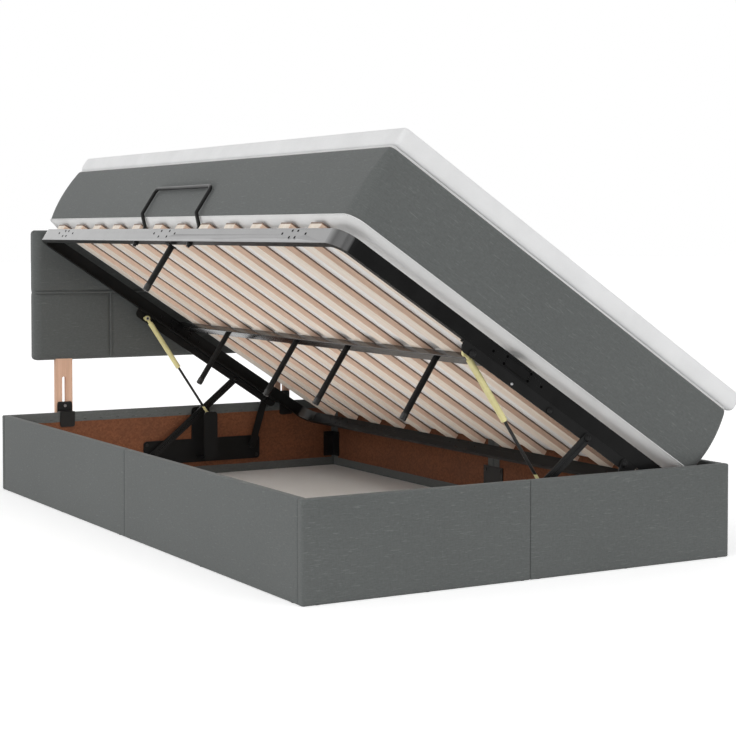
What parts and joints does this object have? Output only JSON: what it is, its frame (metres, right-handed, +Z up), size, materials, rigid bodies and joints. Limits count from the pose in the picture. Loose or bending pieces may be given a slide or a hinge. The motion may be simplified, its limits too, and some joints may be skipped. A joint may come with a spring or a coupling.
{
  "type": "ottoman storage bed",
  "caption": "Side-lift storage bed: upholstered box, slatted platform raised on arms and gas struts, mattress with topper, padded headboard on slotted legs.",
  "frame": {"origin": "centre of the base box on the floor, at the underside of the storage floor sheets", "axes": "+Y along the bed toward the headboard, +X across the bed toward the hinge side, +Z up"},
  "size_m": [1.2604, 2.075, 1.038],
  "materials": {
    "cover_fabric": "woven upholstery, matt",
    "chipboard": "raw board",
    "glide_plastic": "matt",
    "floor_board": "smooth painted hardboard",
    "black_steel": "satin powder coat",
    "frame_steel": "satin powder coat",
    "bolt_steel": "zinc plated",
    "black_plastic": "satin",
    "slat_wood": "planed, unvarnished",
    "mattress_fabric": "woven border with a white rim and top",
    "topper_fabric": "knitted, matt",
    "strut_paint": "satin",
    "rod_steel": "dark",
    "leg_wood": "planed softwood"
  },
  "bodies": {
    "base": {"board_foot_left": "chipboard", "board_foot_right": "chipboard", "board_side_left_foot": "chipboard", "board_side_left_head": "chipboard", "board_side_right_foot": "chipboard", "board_side_right_head": "chipboard", "board_head": "chipboard", "cover_foot_left": "cover_fabric", "cover_foot_right": "cover_fabric", "cover_side_left_foot": "cover_fabric", "cover_side_left_head": "cover_fabric", "cover_side_right_foot": "cover_fabric", "cover_side_right_head": "cover_fabric", "cover_head": "cover_fabric", "glides": "glide_plastic", "floor_sheets": "floor_board", "corner_brackets": "bolt_steel", "joining_plates": "bolt_steel", "panel_bolts": "bolt_steel", "base_bracket_foot": "black_steel", "base_bracket_head": "black_steel", "headboard_hooks": "black_steel", "clamp_bolts": "bolt_steel"},
    "headboard": {"headboard_core": "chipboard", "headboard_cover": "cover_fabric", "headboard_leg_left": "leg_wood", "headboard_leg_right": "leg_wood"},
    "platform": {"rail_foot": "frame_steel", "rail_head": "frame_steel", "rail_free": "frame_steel", "rail_hinge": "frame_steel", "centre_beam": "black_steel", "support_legs": "black_steel", "leg_caps": "black_plastic", "retainer_loop": "black_steel", "mattress": "mattress_fabric", "topper": "topper_fabric", "lift_bar_foot": "black_steel", "lift_bar_head": "black_steel", "lift_bar_bolts": "bolt_steel", "slat_01": "slat_wood", "slat_02": "slat_wood", "slat_03": "slat_wood", "slat_04": "slat_wood", "slat_05": "slat_wood", "slat_06": "slat_wood", "slat_07": "slat_wood", "slat_08": "slat_wood", "slat_09": "slat_wood", "slat_10": "slat_wood", "slat_11": "slat_wood", "slat_12": "slat_wood"},
    "long_arm_foot": {"long_arm_foot": "black_steel"},
    "short_arm_foot": {"short_arm_foot": "black_steel"},
    "strut_rod_foot": {"strut_rod_foot": "rod_steel"},
    "strut_cylinder_foot": {"strut_cylinder_foot": "strut_paint"},
    "long_arm_head": {"long_arm_head": "black_steel"},
    "short_arm_head": {"short_arm_head": "black_steel"},
    "strut_rod_head": {"strut_rod_head": "rod_steel"},
    "strut_cylinder_head": {"strut_cylinder_head": "strut_paint"}
  },
  "joints": [
    {"name": "lift", "type": "hinge", "parent": "base", "child": "long_arm_foot", "pos_m": [-0.10551, -0.975, 0.07732], "axis": [0, 1, 0], "range_deg": [0, 25.42], "stiffness_Nm_per_rad": 330, "springref_deg": -85.94},
    {"name": "platform_pivot", "type": "hinge", "parent": "long_arm_foot", "child": "platform", "pos_m": [0.19016, -0.975, 0.31603], "axis": [0, 1, 0], "range_deg": [-58.72, 0]},
    {"name": "long_arm_head_pivot", "type": "hinge", "parent": "base", "child": "long_arm_head", "pos_m": [-0.10551, 0.975, 0.07732], "axis": [0, 1, 0], "range_deg": [0, 25.42]},
    {"name": "short_arm_foot_pivot", "type": "hinge", "parent": "base", "child": "short_arm_foot", "pos_m": [0.25514, -0.975, 0.09312], "axis": [0, 1, 0], "range_deg": [0, 44.61]},
    {"name": "strut_foot_pivot", "type": "hinge", "parent": "base", "child": "strut_rod_foot", "pos_m": [0.08, -0.944, 0.206], "axis": [0, 1, 0], "range_deg": [-67.47, 0]},
    {"name": "strut_foot_slide", "type": "slide", "parent": "strut_rod_foot", "child": "strut_cylinder_foot", "axis": [-0.5561, 0, 0.8311], "range_m": [-0.17898, 0]},
    {"name": "short_arm_head_pivot", "type": "hinge", "parent": "base", "child": "short_arm_head", "pos_m": [0.25514, 0.975, 0.09312], "axis": [0, 1, 0], "range_deg": [0, 44.61]},
    {"name": "strut_head_pivot", "type": "hinge", "parent": "base", "child": "strut_rod_head", "pos_m": [0.08, 0.944, 0.206], "axis": [0, 1, 0], "range_deg": [-67.47, 0]},
    {"name": "strut_head_slide", "type": "slide", "parent": "strut_rod_head", "child": "strut_cylinder_head", "axis": [-0.5561, 0, 0.8311], "range_m": [-0.17898, 0]},
    {"name": "headboard_height", "type": "slide", "parent": "base", "child": "headboard", "axis": [0, 0, 1], "range_m": [-0.09, 0]}
  ],
  "couplings": [
    {"joint": "platform_pivot", "follows": "lift", "ratio": -2.31},
    {"joint": "long_arm_head_pivot", "follows": "lift", "ratio": 1},
    {"joint": "short_arm_foot_pivot", "follows": "lift", "ratio": 1.7549},
    {"joint": "strut_foot_pivot", "follows": "lift", "ratio": -2.654},
    {"joint": "strut_foot_slide", "follows": "lift", "m_per_rad": -0.40342},
    {"joint": "short_arm_head_pivot", "follows": "lift", "ratio": 1.7549},
    {"joint": "strut_head_pivot", "follows": "lift", "ratio": -2.654},
    {"joint": "strut_head_slide", "follows": "lift", "m_per_rad": -0.40342}
  ]
}
